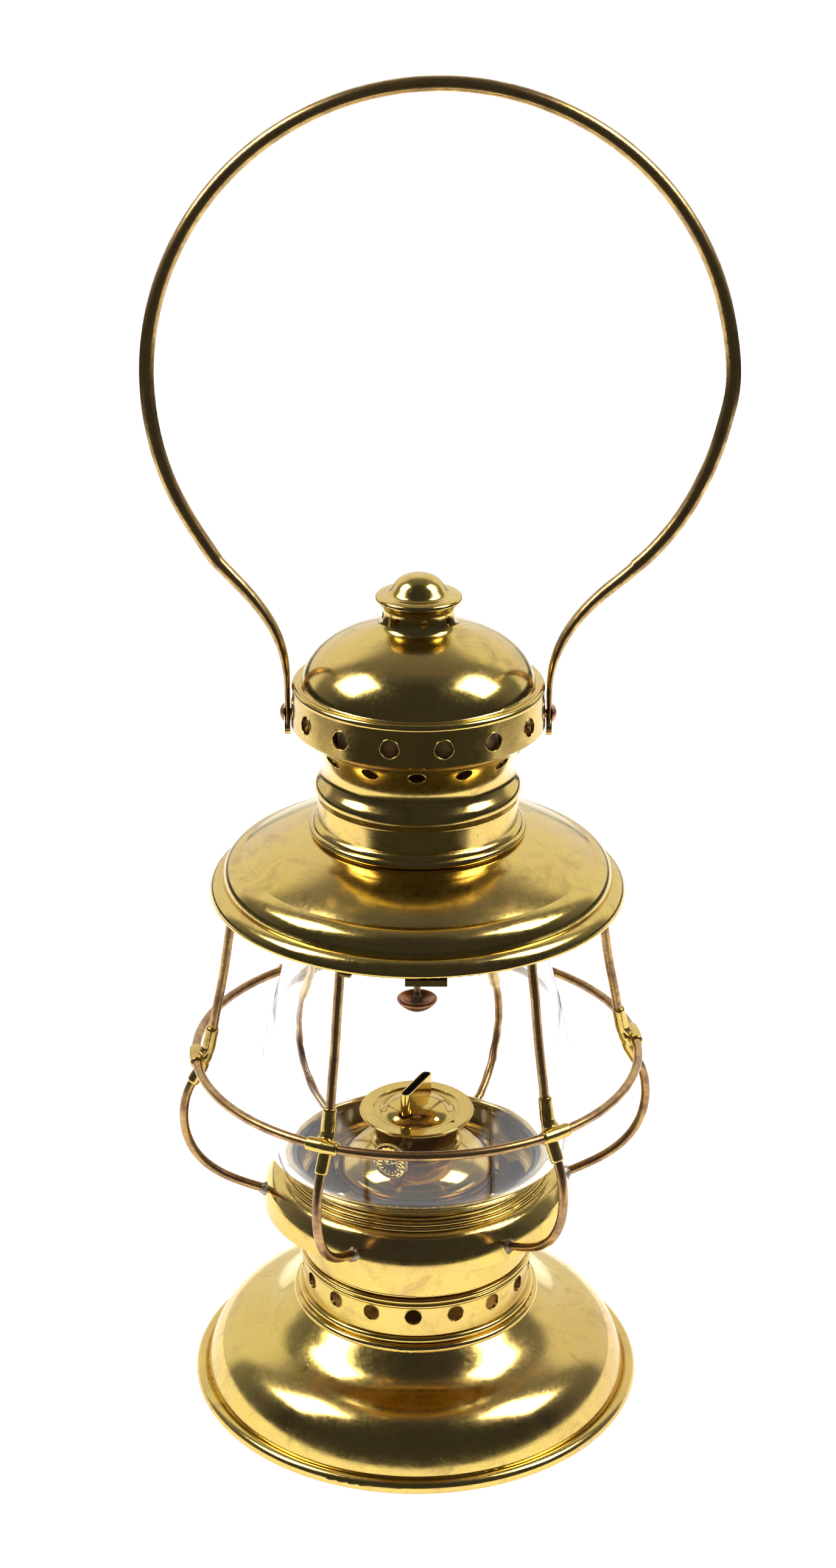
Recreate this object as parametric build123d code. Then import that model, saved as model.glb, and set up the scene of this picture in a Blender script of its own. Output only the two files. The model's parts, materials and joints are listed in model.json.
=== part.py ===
from build123d import *
import math
import os

# Railway lantern. Millimetres. Origin on the lantern's axis at floor level, +Z up, front is -Y.

# Driving dimensions
BASE_R = 70.0
RIM_TUBE_R = 2.2
RIM_WIRE_R = 1.4
RIM_Z = 2.1
BELL_LINE = [
    (38.4, 29.5), (41.5, 26.7), (45.0, 23.8), (49.0, 21.6), (53.5, 20.0), (58.0, 17.8), (61.7, 14.5), (64.7, 9.1), (66.3, 3.9),
]
COLLAR_R = 35.6
COLLAR_TOP = 46.7
DRAFT_HOLES = 17
DRAFT_HOLE_R = 2.6
DRAFT_HOLE_Z = 40.3
SLEEVE_R = 34.4
SHEET = 0.7
FONT_R = 24.6
FONT_Z = 71.5
BURNER_R = 17.6
BURNER_Z = 92.6
SKIRT_R = 12.9
WICK_AZ = 26.0
WICK_CENTRE = (-0.2, 0.0)
TUBE_LONG = 17.4
TUBE_WIDE = 3.3
TUBE_TOP = 101.4
SHAFT_R = 0.8
SHAFT_OFFSET = 3.2
SHAFT_Z = 87.6
WHEEL_R = 6.2
WHEEL_OUT = 24.0
GLOBE_WALL = 2.0
GUARD_WIRE_R = 1.4
GUARD_COUNT = 6
GUARD_AZ = -23.5
GUARD_RING_R = 67.3
GUARD_RING_Z = 114.5
TOP_RING_R = 56.75
HINGE_Y = 64.0
HINGE_Z = 166.2
VENT_HOLES = 15
VENT_HOLE_R = 2.75
VENT_HOLE_Z = 226.1
FLARE_HOLES = 14
FLARE_HOLE_R = 2.45
FLARE_HOLE_Z = 215.2
KNOB_HOLES = 8
KNOB_HOLE_R = 1.1
KNOB_HOLE_Z = 253.9
PIVOT_Z = 223.4
BAIL_EYE_X = 37.95
BAIL_EYE_T = 1.6
BAIL_R = 2.1
BAIL_HOOP_R = 81.2
BAIL_HOOP_X = 5.5
BAIL_HOOP_Z = 321.6
RIVET_SHANK_R = 1.15


def turned(*runs):
    """Revolve a closed section given as curve, arc and line runs of (r, z) points."""
    edges = []
    for kind, *points in runs:
        path = [(r, 0, z) for r, z in points]
        if kind == "curve":
            edges.append(Spline(*path))
        elif kind == "arc":
            edges.append(ThreePointArc(*path))
        else:
            edges.extend(Line(a, b) for a, b in zip(path, path[1:]))
    return revolve(Face(Wire(edges)), Axis.Z, 360)


def ring_tube(r_out, r_in, low, high):
    """Plain tube about the lantern's axis."""
    return turned(("line", (r_in, low), (r_out, low), (r_out, high), (r_in, high), (r_in, low)))


def outward(azimuth, r, z):
    """Location on the axis-facing circle: local +Z points away from the axis."""
    a = math.radians(azimuth)
    direction = (math.sin(a), -math.cos(a), 0)
    origin = (r * direction[0], r * direction[1], z)
    return Plane(origin=origin, x_dir=(0, 0, 1), z_dir=direction).location


def drills(count, phase, r, z, hole_r, depth, droop=0.0):
    """Round cutters pointing outward, spread evenly round the axis."""
    cutter = Rot(0, droop, 0) * Cylinder(hole_r, depth)
    return [outward(phase + k * 360 / count, r, z) * cutter for k in range(count)]


def around(shape, count, step):
    return [Rot(0, 0, k * step) * shape for k in range(count)]


def guard_path():
    """Line of one upright guard wire in its own radial plane, drawn towards -Y."""
    line = [
        (54.3, 170.6), (54.4, 167.0), (56.3, 155.0), (58.5, 141.0), (61.3, 127.0),
        (63.9, 114.5), (65.6, 110.5), (69.1, 104.8), (71.4, 96.0), (70.8, 88.0), (67.5, 80.5),
        (62.0, 74.8), (54.0, 70.2), (46.0, 66.9),
    ]
    return Spline(*[(0, -r, z) for r, z in line])


def guard_wire(radius):
    path = guard_path()
    start = Plane(origin=path @ 0, z_dir=path % 0)
    wire = sweep(start * Circle(radius), path)
    return Rot(0, 0, GUARD_AZ) * wire


# ---- base -------------------------------------------------------------------------------

def base_bell():
    dome = turned(
        ("arc", (36.1, 33.4), (36.9, 32.4), (36.5, 31.3)),
        ("arc", (36.5, 31.3), (38.1, 30.9), (38.4, 29.5)),
        ("curve", *BELL_LINE),
        ("line", BELL_LINE[-1], (65.9, 2.4)),
        ("curve", (65.9, 2.4), (64.0, 8.7), (61.1, 13.9), (57.5, 17.1), (53.2, 19.2), (48.7, 20.8), (44.4, 23.1), (40.9, 26.1)),
        ("line", (40.9, 26.1), (37.6, 28.8), (35.2, 30.4), (35.2, 33.4), (36.1, 33.4)),
    )
    centre = BASE_R - RIM_TUBE_R
    roll = Pos(0, 0, RIM_Z) * Torus(centre, RIM_TUBE_R)
    core = Pos(0, 0, RIM_Z) * Torus(centre, RIM_WIRE_R)
    worn_flat = Pos(0, 0, -2) * Cylinder(80, 4)
    return dome + roll - core - worn_flat


def rim_wire():
    return Pos(0, 0, RIM_Z) * Torus(BASE_R - RIM_TUBE_R, RIM_WIRE_R)


def draft_collar():
    wall = turned(
        ("line", (COLLAR_R, 33.4), (COLLAR_R, 43.2)),
        ("arc", (COLLAR_R, 43.2), (36.3, 44.0), (35.9, 44.9)),
        ("arc", (35.9, 44.9), (36.4, 45.8), (35.7, COLLAR_TOP)),
        ("line", (35.7, COLLAR_TOP), (34.7, COLLAR_TOP), (34.7, 33.4), (COLLAR_R, 33.4)),
    )
    holes = drills(DRAFT_HOLES, -1.2, COLLAR_R, DRAFT_HOLE_Z, DRAFT_HOLE_R, 6)
    return wall - holes


def base_sleeve():
    wall = ring_tube(SLEEVE_R, SLEEVE_R - SHEET, 42.9, 57.0)
    foot = ring_tube(34.7, SLEEVE_R - SHEET, 43.4, 45.6)
    return wall + foot


def pot_tray():
    plate = turned(("line", (0.01, 33.6), (34.7, 33.6), (34.7, 34.4), (0.01, 34.4), (0.01, 33.6)))
    lip = ring_tube(12.6, 11.8, 34.4, 37.5)
    return plate + lip


def font_pot():
    """Rounded lower half of the oil pot on its narrow foot."""
    return turned(
        ("line", (0.01, 37.5), (13.0, 37.5)),
        ("arc", (13.0, 37.5), (13.9, 37.9), (14.2, 38.8)),
        ("line", (14.2, 38.8), (14.2, 61.4)),
        ("curve", (14.2, 61.4), (14.9, 62.5), (17.2, 63.3), (20.2, 64.6), (22.5, 66.4), (23.9, 68.6), (FONT_R, FONT_Z)),
        ("line", (FONT_R, FONT_Z), (FONT_R - SHEET, FONT_Z)),
        ("curve", (FONT_R - SHEET, FONT_Z), (23.2, 68.9), (21.9, 67.0), (19.8, 65.3), (16.9, 64.0), (14.3, 63.1), (13.5, 61.4)),
        ("line", (13.5, 61.4), (13.5, 38.9)),
        ("arc", (13.5, 38.9), (13.3, 38.4), (12.9, 38.2)),
        ("line", (12.9, 38.2), (0.01, 38.2), (0.01, 37.5)),
    )


def font_top():
    """Shoulder of the oil pot, soldered on at its widest line."""
    return turned(
        ("curve", (FONT_R, FONT_Z), (24.0, 74.3), (22.3, 77.0), (19.3, 79.6), (15.6, 81.6), (13.9, 82.3)),
        ("line", (13.9, 82.3), (12.0, 82.3), (12.0, 81.6), (13.6, 81.6)),
        ("curve", (13.6, 81.6), (15.2, 81.0), (18.9, 79.0), (21.8, 76.5), (23.3, 74.1), (FONT_R - SHEET, FONT_Z)),
        ("line", (FONT_R - SHEET, FONT_Z), (FONT_R, FONT_Z)),
    )


def font_collar():
    return turned(
        ("line", (12.0, 82.3), (13.9, 82.3)),
        ("arc", (13.9, 82.3), (14.3, 83.0), (13.7, 83.6)),
        ("line", (13.7, 83.6), (12.0, 83.6), (12.0, 82.3)),
    )


def burner_frame():
    """Location at the wick's centre; local X along the wick's width towards the thumb wheel."""
    a = math.radians(WICK_AZ)
    toward_wheel = (-math.sin(a), -math.cos(a), 0)
    return Plane(origin=(*WICK_CENTRE, 0), x_dir=toward_wheel, z_dir=(0, 0, 1)).location


def slot_block(length, width, low, high):
    """Upright block with rounded ends, in the wick's own frame."""
    return Pos(0, 0, low) * extrude(SlotOverall(length, width), high - low)


def shaft_bar(radius, start, end):
    """Round bar along the wick shaft's line, in the wick's own frame."""
    length = end - start
    return Pos(start + length / 2, SHAFT_OFFSET, SHAFT_Z) * Rot(0, 90, 0) * Cylinder(radius, length)


def burner_skirt():
    wall = turned(
        ("line", (12.1, 83.6), (13.4, 83.6), (SKIRT_R, 84.6), (SKIRT_R, 90.2)),
        ("arc", (SKIRT_R, 90.2), (13.3, 91.2), (14.4, BURNER_Z - 0.85)),
        ("line", (14.4, BURNER_Z - 0.85), (13.4, BURNER_Z - 0.85)),
        ("arc", (13.4, BURNER_Z - 0.85), (12.4, 91.2), (12.1, 90.2)),
        ("line", (12.1, 90.2), (12.1, 83.6)),
    )
    return wall - burner_frame() * shaft_bar(1.62, 8, 18)


def burner_disc():
    """Cap of the burner: flat flange, narrow groove and a low domed centre."""
    rise = BURNER_Z - 92.0
    outer = [(3.0, 95.0), (6.5, 94.4), (9.2, 93.3), (11.0, 92.0), (12.0, 91.7), (13.0, 91.9), (13.6, 92.3)]
    inner = [(11.4, 91.2), (10.4, 91.7), (8.8, 92.7), (6.2, 93.7), (3.0, 94.3)]
    disc = turned(
        ("line", (0.01, 95.1 + rise), (3.0, 95.0 + rise)),
        ("curve", *[(r, z + rise) for r, z in outer]),
        ("line", (13.6, 92.3 + rise), (16.9, 92.4 + rise)),
        ("arc", (16.9, 92.4 + rise), (BURNER_R, 92.0 + rise), (16.9, 91.4 + rise)),
        ("line", (16.9, 91.4 + rise), (11.4, 91.2 + rise)),
        ("curve", *[(r, z + rise) for r, z in inner]),
        ("line", (3.0, 94.3 + rise), (0.01, 94.4 + rise), (0.01, 95.1 + rise)),
    )
    slot = burner_frame() * slot_block(TUBE_LONG + 0.05, TUBE_WIDE + 0.05, 88, 98)
    gap = burner_frame() * Pos(TUBE_LONG / 2 - 1.2, 0, 93) * Cylinder(1.95, 8)
    vent = Pos(10.8, -8.4, 92) * Cylinder(0.8, 8)
    return disc - slot - gap - vent


def wick_tube():
    tube = slot_block(TUBE_LONG, TUBE_WIDE, 78.0, TUBE_TOP) - slot_block(TUBE_LONG - 0.8, 2.5, 77.0, TUBE_TOP + 1)
    teeth = [Pos(x, SHAFT_OFFSET, SHAFT_Z) * Rot(0, 90, 0) * Cylinder(2.6, 1.6) for x in (-3.6, 3.6)]
    return burner_frame() * (tube - teeth)


def wick_plate():
    """Floor of the burner that carries the wick tube and screws into the oil pot."""
    plate = turned(("line", (0.01, 80.2), (11.9, 80.2), (11.9, 83.4), (11.2, 83.4), (11.2, 80.9), (0.01, 80.9), (0.01, 80.2)))
    return plate - burner_frame() * slot_block(TUBE_LONG + 0.05, TUBE_WIDE + 0.05, 79, 84)


def shaft_bushing():
    tube = shaft_bar(1.6, 10.6, 15.0) - shaft_bar(SHAFT_R + 0.06, 10, 16)
    return burner_frame() * tube


def wick_shaft():
    bar = shaft_bar(SHAFT_R, -7.0, 23.4)
    spurs = []
    for x in (-3.6, 3.6):
        for k in range(4):
            tooth = Rot(k * 22.5, 0, 0) * Box(1.0, 2.96, 2.96)
            spurs.append(Pos(x, SHAFT_OFFSET, SHAFT_Z) * tooth)
    for tooth in spurs:
        bar = bar + tooth
    return burner_frame() * bar


def thumb_wheel():
    place = Pos(WHEEL_OUT, SHAFT_OFFSET, SHAFT_Z) * Rot(0, 90, 0)
    disc = Cylinder(WHEEL_R, 0.9)
    notches = [Rot(0, 0, k * 12) * Pos(WHEEL_R + 0.15, 0, 0) * Cylinder(0.35, 2) for k in range(30)]
    boss = Pos(0, 0, 0.6) * Cylinder(1.5, 1.2)
    wheel = disc + boss - Cylinder(SHAFT_R, 6)
    return burner_frame() * place * (wheel - notches)


def wick():
    return burner_frame() * slot_block(15.4, 1.8, 47.0, 99.6)


# ---- frame with globe and guard ----------------------------------------------------------

def lower_band():
    return turned(
        ("arc", (35.0, 46.8), (35.6, 47.2), (35.6, 47.9)),
        ("curve", (35.6, 47.9), (35.7, 53.0), (36.1, 58.5), (36.7, 62.6), (37.0, 66.3)),
        ("line", (37.0, 66.3), (36.3, 66.3)),
        ("curve", (36.3, 66.3), (36.0, 62.6), (35.4, 58.5), (34.9, 53.0), (34.8, 47.9)),
        ("line", (34.8, 47.9), (34.8, 46.8), (35.0, 46.8)),
    )


def seat_ring():
    ring = turned(
        ("arc", (38.6, 76.4), (39.25, 77.0), (39.8, 76.2)),
        ("arc", (39.8, 76.2), (40.7, 76.2), (40.9, 75.1)),
        ("arc", (40.9, 75.1), (41.8, 75.0), (41.8, 74.0)),
        ("curve", (41.8, 74.0), (42.5, 73.8), (43.4, 73.5), (45.1, 71.8), (46.4, 69.6)),
        ("curve", (46.4, 69.6), (47.2, 67.4), (47.6, 65.1), (47.7, 62.8)),
        ("line", (47.7, 62.8), (46.9, 62.8)),
        ("curve", (46.9, 62.8), (46.8, 65.0), (46.4, 67.1), (45.6, 69.2), (44.5, 71.1), (43.0, 72.6), (41.4, 73.1)),
        ("line", (41.4, 73.1), (39.5, 74.4), (39.5, 66.3), (35.2, 66.3), (35.2, 67.1), (38.6, 67.1), (38.6, 76.4)),
    )
    wires = around(guard_wire(GUARD_WIRE_R + 0.03), GUARD_COUNT, 360 / GUARD_COUNT)
    return ring - wires


def globe():
    outer = [
        (39.6, 78.3), (43.2, 80.5), (46.3, 84.0), (47.9, 88.6), (48.3, 95.0), (48.2, 102.0),
        (47.6, 110.0), (46.2, 119.0), (43.9, 129.0), (41.4, 138.0), (39.3, 147.0), (38.1, 156.0), (37.5, 164.0),
    ]
    inner = [
        (35.5, 164.0), (36.1, 156.0), (37.3, 147.0), (39.4, 138.0), (41.9, 129.0), (44.2, 119.0),
        (45.6, 110.0), (46.2, 102.0), (46.3, 95.0), (45.9, 88.9), (44.5, 84.9), (41.8, 81.6), (38.2, 79.2),
    ]
    return turned(
        ("line", (38.2, 67.2), (38.2, 76.2)),
        ("arc", (38.2, 76.2), (38.6, 77.4), (39.6, 78.3)),
        ("curve", *outer),
        ("line", (37.5, 164.0), (37.5, 171.0)),
        ("arc", (37.5, 171.0), (36.5, 172.0), (35.5, 171.0)),
        ("line", (35.5, 171.0), (35.5, 164.0)),
        ("curve", *inner),
        ("arc", (38.2, 79.2), (36.7, 77.8), (36.2, 75.9)),
        ("line", (36.2, 75.9), (36.2, 67.2), (38.2, 67.2)),
    )


def guard_wires():
    return Compound(children=around(guard_wire(GUARD_WIRE_R), GUARD_COUNT, 360 / GUARD_COUNT))


def guard_ring():
    return Pos(0, 0, GUARD_RING_Z) * Torus(GUARD_RING_R, GUARD_WIRE_R)


def rod_between(a, b, radius):
    """Round bar between two points."""
    axis = Vector(*b) - Vector(*a)
    place = Plane(origin=(Vector(*a) + Vector(*b)) / 2, z_dir=axis).location
    return place * Cylinder(radius, axis.length)


def guard_clip():
    """Stamped cross clip that ties the ring to one upright wire, drawn towards -Y."""
    upper = rod_between((0, -61.9, 124.0), (0, -63.3, 117.4), 2.15)
    lower = rod_between((0, -65.4, 111.2), (0, -68.5, 105.9), 2.15)
    saddle = rod_between((-4.6, -GUARD_RING_R, GUARD_RING_Z), (4.6, -GUARD_RING_R, GUARD_RING_Z), 2.2)
    bridge = rod_between((0, -63.3, 118.2), (0, -66.0, 110.4), 2.6)
    clip = Rot(0, 0, GUARD_AZ) * (upper + lower + saddle + bridge)
    ring = Pos(0, 0, GUARD_RING_Z) * Torus(GUARD_RING_R, GUARD_WIRE_R + 0.03)
    return clip - guard_wire(GUARD_WIRE_R + 0.03) - ring


def guard_clips():
    return Compound(children=around(guard_clip(), GUARD_COUNT, 360 / GUARD_COUNT))


def top_ring():
    """Band under the brim that the upright wires are soldered to."""
    return ring_tube(TOP_RING_R, TOP_RING_R - 0.8, 166.9, 171.0)


def front_lug():
    """Tongue on the top ring that the brim's catch snaps behind."""
    leaf = Pos(2.5, -58.6, 166.5) * Box(11.8, 4.2, 0.7)
    lip = Pos(2.5, -60.5, 165.9) * Box(11.8, 0.7, 1.9)
    riser = Pos(2.5, -57.2, 167.6) * Box(11.8, 0.7, 2.2)
    return leaf + lip + riser


def hinge_frame_leaf():
    strap = Pos(0, (TOP_RING_R + HINGE_Y) / 2, HINGE_Z - 1.2) * Box(9.0, HINGE_Y - TOP_RING_R, 0.8)
    riser = Pos(0, TOP_RING_R + 0.45, 167.2) * Box(9.0, 0.8, 4.4)
    knuckle = Pos(0, HINGE_Y, HINGE_Z) * Rot(0, 90, 0) * Cylinder(1.6, 9.0)
    bore = Pos(0, HINGE_Y, HINGE_Z) * Rot(0, 90, 0) * Cylinder(0.86, 40)
    return strap + riser + knuckle - bore


def band_springs():
    """Three bowed strips inside the band that grip the base's sleeve."""
    strip = Pos(0, -32.9, 59.2) * Box(7.0, 0.5, 13.4)
    foot = Pos(0, -34.25, 66.05) * Box(7.0, 3.2, 0.5)
    return Compound(children=around(strip + foot, 3, 120))


# ---- top ---------------------------------------------------------------------------------

def brim():
    return turned(
        ("line", (31.1, 187.2), (31.8, 187.2)),
        ("curve", (31.8, 187.2), (36.0, 186.2), (41.0, 184.4), (46.0, 182.2), (50.4, 179.9), (52.0, 178.9)),
        ("curve", (52.0, 178.9), (54.6, 178.0), (56.6, 176.3), (57.6, 174.2), (57.9, 172.2)),
        ("arc", (57.9, 172.2), (60.6, 171.2), (61.8, 168.8)),
        ("arc", (61.8, 168.8), (61.5, 167.7), (60.7, 167.5)),
        ("arc", (60.7, 167.5), (60.2, 168.1), (60.5, 168.8)),
        ("arc", (60.5, 168.8), (59.4, 170.3), (57.2, 171.2)),
        ("curve", (57.2, 171.2), (56.9, 173.9), (56.0, 175.6), (54.1, 177.3), (51.7, 178.1)),
        ("curve", (51.7, 178.1), (50.0, 179.2), (45.7, 181.5), (40.7, 183.7), (35.8, 185.5), (31.1, 186.5)),
        ("line", (31.1, 186.5), (31.1, 187.2)),
    )


def neck():
    outer = [
        (29.6, 197.4), (29.7, 198.6), (30.2, 199.9), (30.3, 201.2), (29.8, 202.7), (28.6, 204.1), (27.8, 205.6),
        (27.6, 207.5), (28.1, 209.8), (29.3, 212.6), (31.0, 215.6), (33.2, 218.4), (36.0, 220.4),
    ]
    inner = [
        (35.5, 221.0), (32.7, 219.0), (30.4, 216.1), (28.6, 212.9), (27.4, 210.0), (26.9, 207.6), (27.1, 205.4),
        (27.9, 203.7), (29.1, 202.4), (29.6, 201.1), (29.5, 200.1), (29.0, 198.8), (28.9, 197.4),
    ]
    holes = drills(FLARE_HOLES, -0.6, 30.6, FLARE_HOLE_Z, FLARE_HOLE_R, 7, -32)
    wall = turned(
        ("arc", (31.0, 187.2), (32.2, 188.4), (31.2, 189.8)),
        ("arc", (31.2, 189.8), (30.6, 190.9), (29.6, 191.6)),
        ("line", (29.6, 191.6), (29.6, 197.4)),
        ("curve", *outer),
        ("line", (36.0, 220.4), (35.5, 221.0)),
        ("curve", *inner),
        ("line", (28.9, 197.4), (28.9, 187.2), (31.0, 187.2)),
    )
    return wall - holes


def vent_band():
    wall = turned(
        ("line", (36.1, 220.5), (36.95, 220.9), (36.45, 231.4)),
        ("arc", (36.45, 231.4), (36.3, 233.0), (34.9, 233.2)),
        ("line", (34.9, 233.2), (34.9, 232.4)),
        ("arc", (34.9, 232.4), (35.6, 232.2), (35.75, 231.4)),
        ("line", (35.75, 231.4), (36.2, 221.4), (35.7, 221.1), (36.1, 220.5)),
    )
    holes = drills(VENT_HOLES, -12.6, 36.5, VENT_HOLE_Z, VENT_HOLE_R, 6)
    pins = Pos(0, 0, PIVOT_Z) * Rot(0, 90, 0) * Cylinder(RIVET_SHANK_R, 100)
    return wall - holes - pins


def dome():
    return turned(
        ("line", (34.9, 232.4), (34.9, 233.2)),
        ("arc", (34.9, 233.2), (34.1, 233.4), (33.8, 234.0)),
        ("curve", (33.8, 234.0), (32.9, 236.8), (30.6, 240.3), (26.9, 243.7), (21.6, 246.6), (15.6, 248.9), (12.1, 250.2)),
        ("curve", (12.1, 250.2), (11.2, 250.9), (10.7, 252.2)),
        ("line", (10.7, 252.2), (10.0, 252.2)),
        ("curve", (10.0, 252.2), (10.6, 250.5), (11.8, 249.5)),
        ("curve", (11.8, 249.5), (15.3, 248.2), (21.2, 245.9), (26.4, 243.1), (30.0, 239.8), (32.2, 236.4), (33.0, 234.2), (33.6, 232.9)),
        ("line", (33.6, 232.9), (34.9, 232.4)),
    )


def knob_neck():
    wall = turned(
        ("curve", (10.7, 252.2), (10.4, 254.0), (10.5, 256.0), (11.4, 257.6)),
        ("line", (11.4, 257.6), (10.7, 257.9)),
        ("curve", (10.7, 257.9), (9.8, 256.2), (9.7, 254.0), (10.0, 252.2)),
        ("line", (10.0, 252.2), (10.7, 252.2)),
    )
    return wall - drills(KNOB_HOLES, 9.5, 10.2, KNOB_HOLE_Z, KNOB_HOLE_R, 4)


def knob_cap():
    return turned(
        ("line", (10.8, 258.0), (11.6, 257.7)),
        ("arc", (11.6, 257.7), (12.5, 258.7), (11.5, 259.7)),
        ("curve", (11.5, 259.7), (10.3, 260.0), (8.9, 260.2), (7.9, 261.3), (6.0, 263.9), (3.2, 265.4), (0.01, 265.7)),
        ("line", (0.01, 265.7), (0.01, 265.0)),
        ("curve", (0.01, 265.0), (3.0, 264.7), (5.6, 263.3), (7.4, 260.7), (8.6, 259.6), (10.2, 259.3)),
        ("line", (10.2, 259.3), (10.8, 258.0)),
    )


def inner_chimney():
    """Inner flue behind the two rows of vent holes."""
    return turned(
        ("curve", (26.0, 190.0), (24.6, 200.0), (23.6, 212.0), (23.4, 224.0)),
        ("line", (23.4, 224.0), (22.9, 224.0)),
        ("curve", (22.9, 224.0), (23.1, 212.0), (24.1, 200.0), (25.4, 190.0)),
        ("line", (25.4, 190.0), (26.0, 190.0)),
    )


def wind_baffle():
    """Disc above the flue that keeps wind and rain off the flame."""
    plate = turned(
        ("curve", (0.01, 233.6), (10.0, 233.0), (20.0, 230.8), (27.0, 227.6)),
        ("line", (27.0, 227.6), (26.7, 227.1)),
        ("curve", (26.7, 227.1), (19.8, 230.2), (10.0, 232.4), (0.01, 233.0)),
        ("line", (0.01, 233.0), (0.01, 233.6)),
    )
    return plate


def baffle_legs():
    strut = Pos(0, -23.75, 222.0) * Box(3.0, 0.6, 3.4)
    strap = Pos(0, -24.6, 225.6) * Box(3.0, 0.6, 4.4)
    link = Pos(0, -24.15, 223.6) * Box(3.0, 1.5, 0.6)
    return Compound(children=around(strut + strap + link, 3, 120))


def flue_spider():
    """Cross strap in the neck that carries the flue and the deflector rod."""
    bar = Pos(0, 0, 189.6) * Box(59.0, 5.0, 0.8)
    cross = Pos(0, 0, 189.6) * Box(5.0, 59.0, 0.8)
    trim = ring_tube(40, 28.9, 185, 195)
    return bar + cross - trim - Pos(0, 0, 189.6) * Cylinder(1.06, 4)


def globe_retainer():
    """Ring inside the brim that holds the globe's upper edge."""
    return turned(
        ("line", (38.3, 172.4), (39.1, 172.4), (40.2, 175.6), (44.0, 181.7)),
        ("line", (44.0, 181.7), (43.4, 181.9), (39.5, 175.9), (38.9, 174.0), (33.6, 174.0), (33.6, 173.3), (38.3, 173.3), (38.3, 172.4)),
    )


def deflector_rod():
    rod = Pos(0, 0, 160.2) * Cylinder(1.05, 62.2)
    nut = Pos(0, 0, 190.0) * extrude(RegularPolygon(2.6, 6), 1.6)
    return rod + nut


def deflector_dish():
    return turned(
        ("line", (0.01, 129.1), (0.9, 129.1)),
        ("curve", (0.9, 129.1), (2.4, 129.9), (4.2, 131.1), (5.5, 131.5), (6.1, 131.0)),
        ("line", (6.1, 131.0), (6.0, 130.5)),
        ("curve", (6.0, 130.5), (5.4, 129.7), (4.2, 128.6), (2.4, 127.5), (0.01, 127.1)),
        ("line", (0.01, 127.1), (0.01, 129.1)),
    )


def hinge_top_leaf():
    leaf = ring_tube(62.7, 61.95, 166.6, 170.4) & Pos(0, 62.0, 168.5) * Box(19.0, 6.0, 4.0)
    for x in (-7.2, 7.2):
        leaf += Pos(x, HINGE_Y, HINGE_Z) * Rot(0, 90, 0) * Cylinder(1.6, 4.6)
        leaf += Pos(x, 62.3, HINGE_Z + 1.1) * Box(4.6, 3.0, 1.0)
    bore = Pos(0, HINGE_Y, HINGE_Z) * Rot(0, 90, 0) * Cylinder(0.8, 40)
    room = Pos(0, HINGE_Y, HINGE_Z) * Rot(0, 90, 0) * Cylinder(1.95, 9.4)
    return leaf - bore - room - Pos(0, 0, 165) * Cylinder(61.93, 20)


def hinge_pin():
    return Pos(0, HINGE_Y, HINGE_Z) * Rot(0, 90, 0) * Cylinder(0.8, 20.4)


def catch_hook():
    """Sprung tongue of the brim's catch beside the front lug."""
    tongue = Pos(0, -59.0, 168.2) * Box(3.2, 0.6, 3.6)
    hook = Pos(0, -59.6, 166.2) * Box(3.2, 1.8, 0.6)
    return Rot(0, 0, -19.6) * (tongue + hook)


def bail_rivets():
    shank = Pos(0, 0, 37.3) * Cylinder(RIVET_SHANK_R, 4.0)
    head = Pos(0, 0, 39.0) * (Pos(0, 0, -2.5) * Sphere(3.72) & Pos(0, 0, 1.0) * Cylinder(2.75, 2.0))
    tail = Pos(0, 0, 35.1) * Cylinder(2.2, 0.8)
    rivet = shank + head + tail
    sides = []
    for sign in (-1, 1):
        place = Plane(origin=(0, 0, PIVOT_Z), x_dir=(0, 0, 1), z_dir=(sign, 0, 0)).location
        sides.append(place * rivet)
    return Compound(children=sides)


# ---- bail --------------------------------------------------------------------------------

def bail_line():
    """Hoop of the bail down to where its legs begin to flatten."""
    left = [(-57.6, 269.5)]
    right = [
        (85.3, 311.0), (83.2, 302.8), (79.7, 293.6), (75.1, 284.5), (69.0, 275.8), (61.7, 268.2),
    ]
    hoop = []
    for degrees in range(213, -4, -12):
        a = math.radians(degrees)
        hoop.append((BAIL_HOOP_X + BAIL_HOOP_R * math.cos(a), BAIL_HOOP_Z + BAIL_HOOP_R * math.sin(a)))
    return Spline(*[(x, 0, z) for x, z in left + hoop + right])


def bail_leg(line):
    """Tapering leg through (x, z, half thickness, half width) stations."""
    points = [Vector(x, 0, z) for x, z, _, _ in line]
    loops = []
    for k, (x, z, thick, wide) in enumerate(line):
        run = points[min(k + 1, len(points) - 1)] - points[max(k - 1, 0)]
        place = Plane(origin=(x, 0, z), x_dir=(-run.Z, 0, run.X), z_dir=run)
        loops.append(place * Ellipse(thick, wide))
    return loft(loops)


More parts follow.
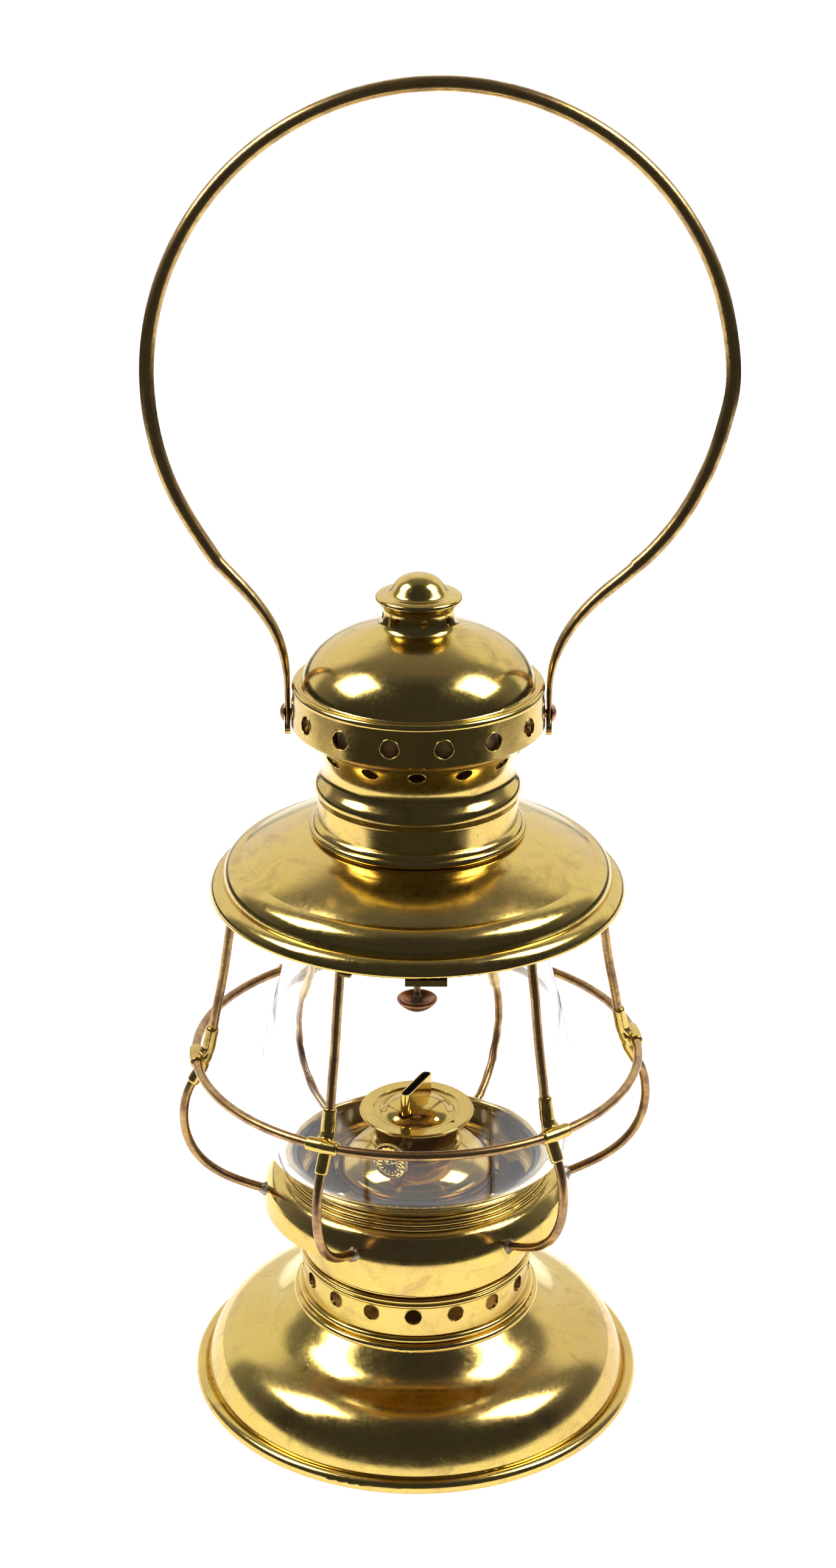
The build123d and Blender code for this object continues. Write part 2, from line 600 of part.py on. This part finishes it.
def bail_legs():
    left = bail_leg([
        (-58.6, 270.8, 2.07, 2.07), (-51.2, 262.4, 1.86, 2.13), (-45.2, 255.0, 1.68, 2.2), (-41.0, 247.6, 1.5, 2.3),
        (-38.8, 240.6, 1.26, 2.45), (-38.05, 234.2, 0.98, 2.58), (-BAIL_EYE_X, 227.0, 0.84, 2.66), (-BAIL_EYE_X, 219.5, 0.8, 2.7),
    ])
    right = bail_leg([
        (62.7, 269.2, 2.07, 2.07), (54.6, 261.8, 1.86, 2.13), (48.0, 255.4, 1.68, 2.2), (42.7, 248.1, 1.5, 2.3),
        (39.5, 240.8, 1.26, 2.45), (38.15, 234.2, 0.98, 2.58), (BAIL_EYE_X, 227.0, 0.84, 2.66), (BAIL_EYE_X, 219.5, 0.8, 2.7),
    ])
    eyes = [Pos(side * BAIL_EYE_X, 0, 219.5) * Rot(0, 90, 0) * Cylinder(2.7, BAIL_EYE_T) for side in (-1, 1)]
    return left + right + eyes


def bail():
    path = bail_line()
    start = Plane(origin=path @ 0, z_dir=path % 0)
    wire = sweep(start * Circle(BAIL_R), path)
    pins = Pos(0, 0, PIVOT_Z) * Rot(0, 90, 0) * Cylinder(RIVET_SHANK_R + 0.07, 100)
    return wire + bail_legs() - pins


NODES = {
    "base_bell": base_bell,
    "rim_wire": rim_wire,
    "draft_collar": draft_collar,
    "base_sleeve": base_sleeve,
    "pot_tray": pot_tray,
    "font_pot": font_pot,
    "font_top": font_top,
    "font_collar": font_collar,
    "burner_skirt": burner_skirt,
    "burner_disc": burner_disc,
    "wick_tube": wick_tube,
    "wick_plate": wick_plate,
    "shaft_bushing": shaft_bushing,
    "wick_shaft": wick_shaft,
    "thumb_wheel": thumb_wheel,
    "wick": wick,
    "lower_band": lower_band,
    "band_springs": band_springs,
    "seat_ring": seat_ring,
    "globe": globe,
    "guard_wires": guard_wires,
    "guard_ring": guard_ring,
    "guard_clips": guard_clips,
    "top_ring": top_ring,
    "front_lug": front_lug,
    "hinge_frame_leaf": hinge_frame_leaf,
    "brim": brim,
    "neck": neck,
    "vent_band": vent_band,
    "dome": dome,
    "knob_neck": knob_neck,
    "knob_cap": knob_cap,
    "inner_chimney": inner_chimney,
    "wind_baffle": wind_baffle,
    "baffle_legs": baffle_legs,
    "flue_spider": flue_spider,
    "globe_retainer": globe_retainer,
    "deflector_rod": deflector_rod,
    "deflector_dish": deflector_dish,
    "hinge_top_leaf": hinge_top_leaf,
    "hinge_pin": hinge_pin,
    "catch_hook": catch_hook,
    "bail_rivets": bail_rivets,
    "bail": bail,
}

os.makedirs("parts", exist_ok=True)
for node, make in NODES.items():
    export_step(make(), "parts/" + node + ".step")
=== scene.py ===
import json
import math

import bmesh
import bpy
from mathutils import Matrix, Vector


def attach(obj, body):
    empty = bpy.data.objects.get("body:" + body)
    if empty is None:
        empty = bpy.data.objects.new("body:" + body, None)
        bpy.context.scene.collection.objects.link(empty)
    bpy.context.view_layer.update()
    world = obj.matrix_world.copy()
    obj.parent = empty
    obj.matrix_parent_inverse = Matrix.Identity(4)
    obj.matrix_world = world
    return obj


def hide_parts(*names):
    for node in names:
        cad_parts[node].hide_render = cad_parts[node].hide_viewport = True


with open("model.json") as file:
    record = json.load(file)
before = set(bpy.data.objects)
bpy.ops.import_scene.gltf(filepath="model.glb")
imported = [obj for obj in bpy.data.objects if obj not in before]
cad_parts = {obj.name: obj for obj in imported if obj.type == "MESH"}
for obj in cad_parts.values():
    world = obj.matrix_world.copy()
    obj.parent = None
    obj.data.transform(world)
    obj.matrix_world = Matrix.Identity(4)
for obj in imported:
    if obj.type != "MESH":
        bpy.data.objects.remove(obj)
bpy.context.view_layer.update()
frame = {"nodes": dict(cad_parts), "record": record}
MM = 0.001


# ---- node helpers ------------------------------------------------------------------------

class Tree:
    """Short ways to add and join shader nodes."""

    def __init__(self, name, world=False):
        self.owner = (bpy.data.worlds if world else bpy.data.materials).new(name)
        self.owner.use_nodes = True
        self.nodes = self.owner.node_tree.nodes
        self.links = self.owner.node_tree.links
        self.bsdf = self.nodes.get("Principled BSDF")
        self.out = self.nodes.get("Material Output")

    def put(self, socket, value):
        if hasattr(value, "is_output"):
            self.links.new(value, socket)
        else:
            socket.default_value = value

    def math(self, op, a, b=0.0, clamp=False):
        n = self.nodes.new("ShaderNodeMath")
        n.operation = op
        n.use_clamp = clamp
        self.put(n.inputs[0], a)
        self.put(n.inputs[1], b)
        return n.outputs[0]

    def position(self):
        if not hasattr(self, "_pos"):
            coords = self.nodes.new("ShaderNodeTexCoord")
            self._pos = coords.outputs["Object"]
        return self._pos

    def xyz(self, vector=None):
        n = self.nodes.new("ShaderNodeSeparateXYZ")
        self.put(n.inputs[0], vector or self.position())
        return n.outputs

    def combine(self, x, y, z):
        n = self.nodes.new("ShaderNodeCombineXYZ")
        for socket, value in zip(n.inputs, (x, y, z)):
            self.put(socket, value)
        return n.outputs[0]

    def noise(self, scale, vector=None, detail=4.0, rough=0.55, distortion=0.0):
        n = self.nodes.new("ShaderNodeTexNoise")
        self.put(n.inputs["Vector"], vector or self.position())
        n.inputs["Scale"].default_value = scale
        n.inputs["Detail"].default_value = detail
        n.inputs["Roughness"].default_value = rough
        n.inputs["Distortion"].default_value = distortion
        return n.outputs["Fac"]

    def voronoi(self, scale):
        n = self.nodes.new("ShaderNodeTexVoronoi")
        self.put(n.inputs["Vector"], self.position())
        n.inputs["Scale"].default_value = scale
        return n.outputs["Distance"]

    def band(self, value, low, high, to_low=0.0, to_high=1.0):
        n = self.nodes.new("ShaderNodeMapRange")
        self.put(n.inputs["Value"], value)
        n.inputs["From Min"].default_value = low
        n.inputs["From Max"].default_value = high
        n.inputs["To Min"].default_value = to_low
        n.inputs["To Max"].default_value = to_high
        return n.outputs["Result"]

    def mix(self, factor, a, b):
        n = self.nodes.new("ShaderNodeMix")
        n.data_type = "RGBA"
        self.put(n.inputs["Factor"], factor)
        for socket, value in ((n.inputs[6], a), (n.inputs[7], b)):
            if isinstance(value, tuple):
                value = (*value, 1.0)[:4]
            self.put(socket, value)
        return n.outputs[2]

    def bump(self, height, distance, strength=1.0, below=None):
        n = self.nodes.new("ShaderNodeBump")
        n.inputs["Strength"].default_value = strength
        n.inputs["Distance"].default_value = distance
        self.put(n.inputs["Height"], height)
        if below is not None:
            self.put(n.inputs["Normal"], below)
        return n.outputs[0]


def spun_lines(t, around, across):
    """Fine streaks that run round the lantern's axis, as spinning and polishing leave."""
    x, y, z = t.xyz()
    radius = t.math("SQRT", t.math("ADD", t.math("MULTIPLY", x, x), t.math("MULTIPLY", y, y)))
    near = t.math("MAXIMUM", radius, 0.001)
    profile = t.math("MULTIPLY", t.math("ADD", radius, t.math("MULTIPLY", z, 1.3)), across)
    vector = t.combine(t.math("MULTIPLY", t.math("DIVIDE", x, near), around),
                       t.math("MULTIPLY", t.math("DIVIDE", y, near), around), profile)
    return t.noise(1.0, vector, detail=3.0, rough=0.6)


def brass(name, gold, warm, brown, roughness, patina=0.5, pits=0.5, streaks=0.5):
    """Aged polished brass: three tones, spin marks, stains, blush, fine grain and pits."""
    t = Tree(name)
    clouds = t.noise(26.0, detail=6.0, rough=0.6, distortion=0.6)
    stains = t.noise(75.0, detail=7.0, rough=0.68, distortion=1.2)
    fine = t.noise(900.0, detail=3.0, rough=0.7)
    lines = spun_lines(t, 5.0, 2600.0)
    colour = t.mix(t.math("MULTIPLY", t.band(clouds, 0.42, 0.68), patina), gold, warm)
    colour = t.mix(t.math("MULTIPLY", t.band(stains, 0.52, 0.72), patina * 0.75), colour, brown)
    colour = t.mix(t.math("MULTIPLY", t.band(lines, 0.55, 0.8), streaks * 0.35), colour, brown)
    blush = t.band(t.noise(140.0, detail=6.0, rough=0.75), 0.5, 0.7)
    colour = t.mix(t.math("MULTIPLY", blush, patina * 0.4), colour, (0.78, 0.46, 0.24))
    grain = t.noise(2600.0, detail=2.0, rough=0.8)
    colour = t.mix(t.math("MULTIPLY", t.band(grain, 0.52, 0.75), 0.28), colour, brown)
    spots = t.band(t.voronoi(620.0), 0.16, 0.05)
    where = t.band(t.noise(60.0, detail=5.0, rough=0.7), 0.5, 0.66)
    pit = t.math("MULTIPLY", t.math("MULTIPLY", spots, where), pits)
    colour = t.mix(pit, colour, tuple(c * 0.22 for c in brown))
    t.put(t.bsdf.inputs["Base Color"], colour)
    t.bsdf.inputs["Metallic"].default_value = 1.0
    base = t.band(stains, 0.35, 0.75, roughness * 0.75, roughness * 1.5)
    rough = t.math("ADD", base, t.math("MULTIPLY", t.band(fine, 0.4, 0.8), roughness * 0.5))
    rough = t.math("ADD", rough, t.math("MULTIPLY", pit, 0.3), clamp=True)
    t.put(t.bsdf.inputs["Roughness"], rough)
    normal = t.bump(lines, 0.00002, 0.35 * streaks)
    normal = t.bump(t.noise(34.0, detail=3.0), 0.0006, 0.12, normal)
    normal = t.bump(grain, 0.00001, 0.22, normal)
    normal = t.bump(t.math("MULTIPLY", pit, -1.0), 0.00006, 0.5, normal)
    t.put(t.bsdf.inputs["Normal"], normal)
    return t.owner


def wire_metal(name, bright, brown, roughness):
    """Drawn wire gone brown, with brighter rubbed streaks and fine lengthways grain."""
    t = Tree(name)
    blotch = t.noise(160.0, detail=6.0, rough=0.7)
    rub = t.noise(45.0, detail=4.0, rough=0.6)
    colour = t.mix(t.band(blotch, 0.40, 0.62), bright, brown)
    colour = t.mix(t.math("MULTIPLY", t.band(rub, 0.52, 0.7), 0.5), colour, bright)
    t.put(t.bsdf.inputs["Base Color"], colour)
    t.bsdf.inputs["Metallic"].default_value = 1.0
    t.put(t.bsdf.inputs["Roughness"], t.band(blotch, 0.3, 0.75, roughness * 0.8, roughness * 1.5))
    normal = t.bump(t.noise(1400.0, detail=3.0), 0.00003, 0.2)
    t.put(t.bsdf.inputs["Normal"], normal)
    return t.owner


def glass(name):
    t = Tree(name)
    t.bsdf.inputs["Base Color"].default_value = (0.985, 0.98, 0.99, 1.0)
    t.bsdf.inputs["Transmission Weight"].default_value = 1.0
    t.bsdf.inputs["IOR"].default_value = 1.46
    t.put(t.bsdf.inputs["Roughness"], t.band(t.noise(40.0), 0.3, 0.8, 0.0, 0.012))
    t.put(t.bsdf.inputs["Normal"], t.bump(t.noise(30.0, detail=2.0), 0.001, 0.05))
    return t.owner


def cotton(name):
    t = Tree(name)
    x, y, z = t.xyz()
    weave = t.noise(2400.0, detail=2.0)
    char = t.band(z, 0.0955, 0.0985)
    colour = t.mix(t.band(weave, 0.35, 0.65), (0.32, 0.26, 0.18), (0.55, 0.47, 0.34))
    colour = t.mix(char, colour, (0.02, 0.016, 0.013))
    t.put(t.bsdf.inputs["Base Color"], colour)
    t.bsdf.inputs["Roughness"].default_value = 0.95
    t.put(t.bsdf.inputs["Normal"], t.bump(weave, 0.0002, 0.8))
    return t.owner


GOLD = (0.72, 0.53, 0.135)
WARM = (0.64, 0.43, 0.14)
BROWN = (0.34, 0.20, 0.08)

MATERIALS = {
    "sheet_brass": brass("brass_sheet", GOLD, WARM, BROWN, 0.14, patina=0.75, pits=0.55, streaks=0.7),
    "turned_brass": brass("brass_turned", (0.78, 0.57, 0.15), (0.70, 0.47, 0.15), BROWN, 0.10,
                          patina=0.4, pits=0.3, streaks=0.9),
    "inner_brass": brass("brass_inner", (0.40, 0.27, 0.11), (0.26, 0.16, 0.08), (0.10, 0.06, 0.04), 0.38,
                         patina=0.9, pits=0.7, streaks=0.4),
    "guard_wire": wire_metal("wire_guard", (0.55, 0.34, 0.13), (0.27, 0.15, 0.08), 0.27),
    "bail_wire": wire_metal("wire_bail", (0.58, 0.39, 0.14), (0.30, 0.18, 0.08), 0.24),
    "copper": wire_metal("copper_old", (0.62, 0.30, 0.15), (0.30, 0.14, 0.08), 0.33),
    "clear_glass": glass("glass_globe"),
    "wick_cotton": cotton("cotton_wick"),
    "clip": brass("brass_clip", (0.72, 0.52, 0.13), (0.55, 0.36, 0.10), (0.22, 0.13, 0.05), 0.2,
                  patina=0.8, pits=0.6, streaks=0.0),
    "solder": wire_metal("solder_grey", (0.50, 0.46, 0.38), (0.24, 0.19, 0.13), 0.42),
}


def set_material(piece, material):
    piece.data.materials.clear()
    piece.data.materials.append(material)


for entry in frame["record"]["subparts"]:
    set_material(frame["nodes"][entry["node"]], MATERIALS[entry["material_slot"]])


# ---- mesh helpers --------------------------------------------------------------------------

def add_piece(name, mesh, material, body, *replaced, slot=None):
    piece = bpy.data.objects.new(name, mesh)
    bpy.context.scene.collection.objects.link(piece)
    set_material(piece, material)
    for face in mesh.polygons:
        face.use_smooth = True
    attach(piece, body)
    if replaced:
        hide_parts(*replaced)
    return piece


def mesh_from(bm, name):
    mesh = bpy.data.meshes.new(name)
    bm.to_mesh(mesh)
    bm.free()
    return mesh


def ring_of(bm, centre, along, radius, sides, wobble=None):
    """One loop of vertices round a point, square to a direction."""
    turn = Vector(along).normalized().to_track_quat("Z", "Y").to_matrix()
    loop = []
    for k in range(sides):
        a = 2 * math.pi * k / sides
        r = radius * (1.0 if wobble is None else wobble(k / sides))
        offset = turn @ Vector((r * math.cos(a), r * math.sin(a), 0))
        loop.append(bm.verts.new((Vector(centre) + offset) * MM))
    return loop


def skin(bm, loops, close_ends=True):
    for low, high in zip(loops, loops[1:]):
        count = len(low)
        for k in range(count):
            bm.faces.new((low[k], low[(k + 1) % count], high[(k + 1) % count], high[k]))
    if close_ends:
        bm.faces.new(reversed(loops[0]))
        bm.faces.new(loops[-1])


def bar(bm, stations, sides=20):
    """Closed bar through (point, radius) stations, points in mm."""
    points = [Vector(p) for p, _ in stations]
    loops = []
    for k, (point, radius) in enumerate(stations):
        before, after = points[max(k - 1, 0)], points[min(k + 1, len(points) - 1)]
        loops.append(ring_of(bm, point, after - before, radius, sides))
    skin(bm, loops)


def melted(bm, name, voxel_mm, smooth_steps):
    """Fuse overlapping closed forms into one smooth skin."""
    mesh = mesh_from(bm, name)
    source = bpy.data.objects.new(name + "_raw", mesh)
    bpy.context.scene.collection.objects.link(source)
    remesh = source.modifiers.new("remesh", "REMESH")
    remesh.mode = "VOXEL"
    remesh.voxel_size = voxel_mm * MM
    relax = source.modifiers.new("relax", "SMOOTH")
    relax.factor = 0.5
    relax.iterations = smooth_steps
    graph = bpy.context.evaluated_depsgraph_get()
    result = bpy.data.meshes.new_from_object(source.evaluated_get(graph))
    result.name = name
    bpy.data.objects.remove(source)
    return result


def turned_copies(mesh, angles, name):
    """One mesh holding copies of a mesh turned about the lantern's axis."""
    bm = bmesh.new()
    for degrees in angles:
        part = bmesh.new()
        part.from_mesh(mesh)
        part.transform(Matrix.Rotation(math.radians(degrees), 4, "Z"))
        copy = bpy.data.meshes.new("copy")
        part.to_mesh(copy)
        part.free()
        bm.from_mesh(copy)
        bpy.data.meshes.remove(copy)
    return mesh_from(bm, name)


# Guard and thumb wheel sizes in mm and degrees, as in the CAD
GUARD_ANGLES = [-23.5 + 60 * k for k in range(6)]
GUARD_RING_R = 67.3
GUARD_RING_Z = 114.5


# ---- cross clips and solder ----------------------------------------------------------------

def cross_clips():
    """Stamped clips that wrap the level ring and each upright wire."""
    bm = bmesh.new()
    bar(bm, [((0, -61.85, 124.2), 1.78), ((0, -62.0, 123.6), 2.0), ((0, -62.6, 121.0), 2.02),
             ((0, -63.2, 118.2), 2.1), ((0, -63.6, 116.4), 2.0)])
    bar(bm, [((0, -65.0, 112.4), 1.9), ((0, -65.7, 110.6), 2.0), ((0, -67.2, 108.1), 1.98),
             ((0, -68.2, 106.3), 1.98), ((0, -68.5, 105.8), 1.75)])
    saddle = []
    saddle_stations = ((-4.1, 1.8), (-3.8, 2.05), (-2, 2.08), (0, 2.15), (2, 2.08), (3.8, 2.05), (4.1, 1.8))
    for degrees, radius in saddle_stations:
        a = math.radians(degrees)
        saddle.append(((GUARD_RING_R * math.sin(a), -GUARD_RING_R * math.cos(a), GUARD_RING_Z), radius))
    bar(bm, saddle)
    bar(bm, [((0, -63.3, 117.6), 1.9), ((0, -64.8, 114.5), 2.5), ((0, -65.4, 111.6), 1.8)])
    for side in (-1, 1):
        bar(bm, [((side * 1.75, -62.5, 123.9), 0.32), ((side * 1.95, -63.6, 117.6), 0.36),
                 ((side * 2.2, -66.0, 115.2), 0.4)], 10)
        bar(bm, [((side * 1.6, -65.2, 112.4), 0.35), ((side * 1.72, -68.0, 106.4), 0.3)], 10)
    clip = melted(bm, "clip", 0.24, 3)
    mesh = turned_copies(clip, GUARD_ANGLES, "guard_clip_set")
    add_piece("guard_clip_set", mesh, MATERIALS["clip"], "frame", "guard_clips", slot="turned_brass")


def solder_collars():
    """Rough solder where each upright wire enters the seat ring."""
    bm = bmesh.new()
    centre, along = Vector((0, -47.3, 67.35)), Vector((0, 1, -0.42))

    def rough(seed):
        def wobble(f):
            slow = 0.10 * math.sin(2 * math.pi * (3 * f + seed))
            quick = 0.07 * math.sin(2 * math.pi * (7 * f + 2 * seed))
            return 1.0 + slow + quick
        return wobble

    loops = []
    stations = ((-1.3, 1.44, 0.1), (-0.9, 1.62, 0.3), (-0.2, 1.9, 0.5), (0.35, 2.35, 0.8), (1.0, 2.4, 0.9))
    for step, radius, seed in stations:
        loops.append(ring_of(bm, centre + along.normalized() * step, along, radius, 28, rough(seed)))
    skin(bm, loops)
    mesh = turned_copies(mesh_from(bm, "collar"), GUARD_ANGLES, "solder_collars")
    add_piece("solder_collars", mesh, MATERIALS["solder"], "frame", slot="inner_brass")


def top_solder():
    """Solder blobs that hold the upright wires to the top ring."""
    bm = bmesh.new()
    bar(bm, [((0, -54.9, 170.9), 0.9), ((0, -54.9, 170.4), 1.75), ((0, -54.9, 168.4), 1.95),
             ((0, -55.0, 167.0), 1.6), ((0, -55.0, 166.6), 0.9)], 18)
    mesh = turned_copies(mesh_from(bm, "blob"), GUARD_ANGLES, "top_solder")
    add_piece("top_solder", mesh, MATERIALS["solder"], "frame", slot="inner_brass")


def deflector_solder():
    """Bright solder at the foot of the deflector's rod."""
    bm = bmesh.new()
    loops = []
    for z, radius in ((132.6, 1.12), (131.6, 1.35), (130.4, 1.5), (129.5, 2.1), (129.15, 2.9)):
        def wobble(f, z=z):
            return 1 + 0.07 * math.sin(2 * math.pi * (3 * f + z))

        loops.append(ring_of(bm, (0, 0, z), (0, 0, -1), radius, 24, wobble))
    skin(bm, loops)
    mesh = mesh_from(bm, "deflector_solder")
    add_piece("deflector_solder", mesh, MATERIALS["solder"], "top", slot="inner_brass")


def hole_lips(name, count, phase, hole_radius, centre, slope, lip, body):
    """Thin burred edges round a row of punched holes, laid on the sheet's own surface.

    centre is (radius, height) of the holes and slope the sheet's (outward, upward) run there.
    """
    bm = bmesh.new()
    steps = 40
    for hole in range(count):
        azimuth = math.radians(phase + hole * 360 / count)
        points = []
        for k in range(steps):
            t = 2 * math.pi * k / steps
            rise = hole_radius * math.sin(t)
            r, z = centre[0] + rise * slope[0], centre[1] + rise * slope[1]
            a = azimuth + hole_radius * math.cos(t) / r
            points.append(Vector((r * math.sin(a), -r * math.cos(a), z)))
        loops = []
        for k, point in enumerate(points):
            along = points[(k + 1) % steps] - points[k - 1]
            uneven = lip * (1.0 + 0.25 * math.sin(3 * 2 * math.pi * k / steps + hole))
            loops.append(ring_of(bm, point, along, uneven, 10))
        skin(bm, loops + loops[:1], close_ends=False)
    bmesh.ops.recalc_face_normals(bm, faces=bm.faces)
    add_piece(name, mesh_from(bm, name), MATERIALS["turned_brass"], body, slot="turned_brass")


# ---- thumb wheel ---------------------------------------------------------------------------

WICK_AZIMUTH = math.radians(26)
SHAFT_DIRECTION = Vector((-math.sin(WICK_AZIMUTH), -math.cos(WICK_AZIMUTH), 0))
SHAFT_SIDE = Vector((-SHAFT_DIRECTION.y, SHAFT_DIRECTION.x, 0))
WHEEL_OUT = 24.0
SHAFT_OFFSET = 3.2
MILLED_FROM = 5.3
NOTCH_DEPTH = 0.16
WAVE_OUT = 4.3
WAVE_IN = 3.6
WAVE_HEIGHT = 0.10
WHEEL_CENTRE = Vector((-0.2, 0, 87.6)) + SHAFT_DIRECTION * WHEEL_OUT + SHAFT_SIDE * SHAFT_OFFSET


def thumb_wheel():
    """Milled disc with a raised rim, two plain wavy rings on its face and a riveted shaft end."""
    sides, notches, waves = 240, 40, 18
    profile = [(0.0, -0.45), (5.6, -0.45), (5.85, -0.3), (5.85, 0.3), (5.6, 0.45), (5.25, 0.45), (5.05, 0.28),
               (WAVE_OUT, 0.26), (WAVE_IN, 0.26), (2.2, 0.28), (1.9, 0.5), (1.55, 0.9), (1.2, 1.05),
               (0.9, 1.0), (0.75, 1.7), (0.4, 1.95), (0.0, 2.0)]
    bm = bmesh.new()
    frame_axes = Matrix((SHAFT_SIDE, Vector((0, 0, 1)), SHAFT_DIRECTION)).transposed()
    loops = []
    for r, h in profile:
        loop = []
        for k in range(sides):
            a = 2 * math.pi * k / sides
            rr, hh = max(r, 0.01), h
            if r > MILLED_FROM:
                rr = r - NOTCH_DEPTH * max(0.0, math.cos(notches * a)) ** 2
            if r in (WAVE_OUT, WAVE_IN):
                hh = h + WAVE_HEIGHT * math.sin(waves * a) * (1 if r == WAVE_OUT else -1)
            point = frame_axes @ Vector((rr * math.cos(a), rr * math.sin(a), hh))
            loop.append(bm.verts.new((WHEEL_CENTRE + point) * MM))
        loops.append(loop)
    skin(bm, loops)
    bmesh.ops.recalc_face_normals(bm, faces=bm.faces)
    mesh = mesh_from(bm, "thumb_wheel_milled")
    add_piece("thumb_wheel_milled", mesh, MATERIALS["turned_brass"], "wick_knob", "thumb_wheel",
              slot="turned_brass")


cross_clips()
solder_collars()
top_solder()
deflector_solder()
hole_lips("vent_hole_lips", 15, -12.6, 2.8, (36.68, 226.1), (-0.047, 0.999), 0.17, "top")
hole_lips("flare_hole_lips", 14, -0.6, 2.5, (30.75, 215.2), (0.558, 0.83), 0.15, "top")
hole_lips("draft_hole_lips", 17, -1.2, 2.65, (35.58, 40.3), (0.0, 1.0), 0.15, "base")
thumb_wheel()


# ---- stage, light and camera ---------------------------------------------------------------

def pale_floor():
    """White table top. To mirror-like metal it ends in front and at the sides, as a studio table does."""
    bpy.ops.mesh.primitive_plane_add(size=30.0, location=(0, 0, -0.0002))
    floor = bpy.context.object
    floor.name = "stage_floor"
    t = Tree("floor_white")
    nodes = t.nodes
    geometry = nodes.new("ShaderNodeNewGeometry")
    x, y, _ = t.xyz(geometry.outputs["Position"])
    front = t.band(y, -0.27, -0.235)
    side = t.band(t.math("ABSOLUTE", x), 0.75, 0.65)
    table = t.math("MULTIPLY", front, side)
    path = nodes.new("ShaderNodeLightPath")
    mirror = path.outputs["Is Glossy Ray"]
    level = t.math("SUBTRACT", 1.0, t.math("MULTIPLY", mirror, t.math("SUBTRACT", 1.0, table)))
    glow = nodes.new("ShaderNodeEmission")
    glow.inputs["Color"].default_value = (1.0, 1.0, 1.0, 1.0)
    seen = path.outputs["Is Camera Ray"]
    strength = t.math("ADD", t.band(level, 0.0, 1.0, 0.02, 0.9), t.math("MULTIPLY", seen, 0.1))
    t.put(glow.inputs["Strength"], strength)
    matt = nodes.new("ShaderNodeBsdfDiffuse")
    t.put(matt.inputs["Color"], t.mix(level, (0.02, 0.02, 0.02), (0.62, 0.62, 0.62)))
    total = nodes.new("ShaderNodeAddShader")
    t.links.new(glow.outputs[0], total.inputs[0])
    t.links.new(matt.outputs[0], total.inputs[1])
    t.links.new(total.outputs[0], t.out.inputs["Surface"])
    set_material(floor, t.owner)


def studio_world():
    """White backdrop behind, dim bluish room in front, greyer towards the sides and overhead."""
    t = Tree("studio", world=True)
    bpy.context.scene.world = t.owner
    coords = t.nodes.new("ShaderNodeTexCoord")
    _, y, z = t.xyz(coords.outputs["Generated"])
    room = t.band(y, -0.25, 0.42, 0.05, 0.23)
    wall = t.band(y, 0.46, 0.56)
    top = t.band(z, 0.68, 0.80, 1.0, 0.33)
    level = t.math("ADD", room, t.math("MULTIPLY", wall, t.math("SUBTRACT", top, room)))
    path = t.nodes.new("ShaderNodeLightPath")
    level = t.math("MAXIMUM", level, path.outputs["Is Camera Ray"])
    tint = t.mix(t.math("MULTIPLY", level, 3.0, clamp=True), (0.86, 0.90, 1.25), (1.0, 1.0, 1.0))
    background = t.nodes["Background"]
    t.put(background.inputs["Color"], tint)
    t.put(background.inputs["Strength"], level)


def softbox(name, towards, size, radiance, distance=1.0):
    """Rectangular light that faces the lantern from the given direction."""
    data = bpy.data.lights.new(name, "AREA")
    data.shape = "RECTANGLE"
    data.size, data.size_y = size
    data.energy = radiance * math.pi * size[0] * size[1]
    lamp = bpy.data.objects.new(name, data)
    direction = Vector(towards).normalized()
    lamp.location = direction * distance + Vector((0, 0, 0.15))
    lamp.rotation_euler = direction.to_track_quat("Z", "Y").to_euler()
    bpy.context.scene.collection.objects.link(lamp)


SOFTBOX_SIZE = (0.38, 0.5)
SOFTBOX_RADIANCE = 11.0
LENS_MM = 64.73
CAMERA_AT = (0, -0.7649, 0.5174)
CAMERA_PITCH = math.radians(22.48)
CAMERA_ROLL = math.radians(0.24)


def camera():
    """Camera at the height, distance and tilt that the lantern is pictured from."""
    data = bpy.data.cameras.new("camera")
    data.sensor_fit = "VERTICAL"
    data.sensor_height = 36.0
    data.lens = LENS_MM
    data.clip_start = 0.01
    cam = bpy.data.objects.new("camera", data)
    tilt = Matrix.Rotation(math.pi / 2 - CAMERA_PITCH, 4, "X")
    roll = Matrix.Rotation(CAMERA_ROLL, 4, "Z")
    cam.matrix_world = Matrix.Translation(CAMERA_AT) @ tilt @ roll
    bpy.context.scene.collection.objects.link(cam)
    bpy.context.scene.camera = cam


pale_floor()
studio_world()
softbox("softbox_left", (-0.63, -0.03, 0.707), SOFTBOX_SIZE, SOFTBOX_RADIANCE)
softbox("softbox_right", (0.63, -0.05, 0.72), SOFTBOX_SIZE, SOFTBOX_RADIANCE)
camera()
bpy.context.scene.view_settings.view_transform = "Standard"
